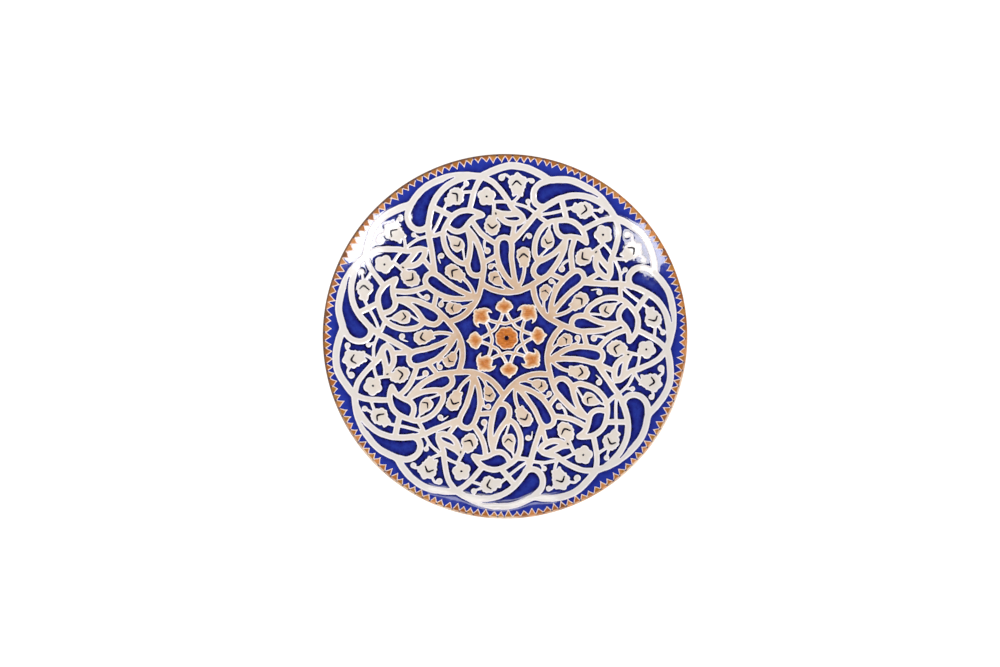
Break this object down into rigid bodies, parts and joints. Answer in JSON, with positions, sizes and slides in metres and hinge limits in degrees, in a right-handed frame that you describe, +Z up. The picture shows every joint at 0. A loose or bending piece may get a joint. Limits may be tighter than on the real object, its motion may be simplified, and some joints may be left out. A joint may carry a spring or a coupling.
{
  "type": "decorative plate",
  "caption": "Round shallow ceramic dish on a foot ring, with a blue glazed face, raised ivory arabesque line work, a star medallion and a sawtooth rim band.",
  "frame": {"origin": "middle of the foot ring's standing face", "axes": "+Z up out of the plate's face, along its axis; +Y towards the top of the design"},
  "size_m": [0.3, 0.3, 0.035],
  "materials": {
    "fired_clay": "matte",
    "cobalt_glaze": "gloss",
    "off_white_glaze": "gloss",
    "ivory_relief": "gloss",
    "orange_enamel": "satin",
    "dark_enamel": "satin"
  },
  "bodies": {
    "root": {"clay_body": "fired_clay", "foot_ring": "fired_clay", "cobalt_ground": "cobalt_glaze", "back_glaze": "off_white_glaze", "recess_glaze": "off_white_glaze", "rim_sawtooth": "orange_enamel", "scallop_border": "ivory_relief", "centre_arcade": "ivory_relief", "big_teardrop_1": "ivory_relief", "big_teardrop_2": "ivory_relief", "big_teardrop_3": "ivory_relief", "big_teardrop_4": "ivory_relief", "big_teardrop_5": "ivory_relief", "big_teardrop_6": "ivory_relief", "big_teardrop_7": "ivory_relief", "petal_1": "ivory_relief", "petal_2": "ivory_relief", "petal_3": "ivory_relief", "petal_4": "ivory_relief", "petal_5": "ivory_relief", "petal_6": "ivory_relief", "petal_7": "ivory_relief", "leaf_1": "ivory_relief", "leaf_2": "ivory_relief", "leaf_3": "ivory_relief", "leaf_4": "ivory_relief", "leaf_5": "ivory_relief", "leaf_6": "ivory_relief", "leaf_7": "ivory_relief", "long_teardrop_1": "ivory_relief", "long_teardrop_2": "ivory_relief", "long_teardrop_3": "ivory_relief", "long_teardrop_4": "ivory_relief", "long_teardrop_5": "ivory_relief", "long_teardrop_6": "ivory_relief", "long_teardrop_7": "ivory_relief", "small_teardrop_1": "ivory_relief", "small_teardrop_2": "ivory_relief", "small_teardrop_3": "ivory_relief", "small_teardrop_4": "ivory_relief", "small_teardrop_5": "ivory_relief", "small_teardrop_6": "ivory_relief", "small_teardrop_7": "ivory_relief", "eight_point_star": "ivory_relief", "palmette_1": "orange_enamel", "palmette_2": "orange_enamel", "palmette_3": "orange_enamel", "palmette_4": "orange_enamel", "palmette_5": "orange_enamel", "palmette_6": "orange_enamel", "palmette_7": "orange_enamel", "palmette_8": "orange_enamel", "rosette": "orange_enamel", "rosette_eye": "dark_enamel"}
  },
  "joints": []
}
